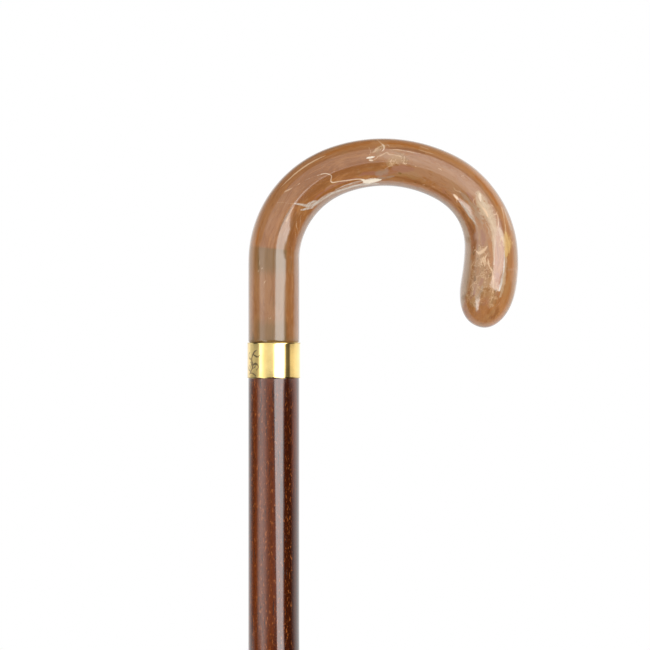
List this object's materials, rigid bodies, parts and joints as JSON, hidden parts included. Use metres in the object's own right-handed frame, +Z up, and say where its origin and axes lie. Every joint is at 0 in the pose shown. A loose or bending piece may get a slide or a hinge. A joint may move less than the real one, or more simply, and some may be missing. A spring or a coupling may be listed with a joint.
{
  "type": "walking cane",
  "caption": "Walking cane with a bent round crook handle, a plain metal collar, a tapering round wooden shaft and a flared rubber tip pushed over its lower end.",
  "frame": {"origin": "centre of the rubber tip's ground face, on the shaft's axis", "axes": "+Z up along the shaft, +X the way the crook opens, +Y to the cane's flat side; the cane is symmetric about its XZ plane"},
  "size_m": [0.1249, 0.03, 0.9138],
  "materials": {
    "handle_acrylic": "polished marbled pearl-amber acrylic, slightly translucent",
    "collar_brass": "polished, gold-coloured",
    "shaft_wood": "dark red-brown stain under gloss lacquer",
    "steel": "zinc-plated",
    "epoxy": "cured clear-yellow epoxy",
    "tip_rubber": "moulded matte black rubber"
  },
  "bodies": {
    "cane": {"crook_handle": "handle_acrylic", "collar": "collar_brass", "shaft": "shaft_wood", "joint_stud": "steel", "handle_glue": "epoxy", "shaft_glue": "epoxy"},
    "tip": {"rubber_tip": "tip_rubber", "tip_washer": "steel"}
  },
  "joints": [
    {"name": "tip_pull", "type": "slide", "parent": "cane", "child": "tip", "axis": [0, 0, -1], "range_m": [0, 0.034]}
  ]
}
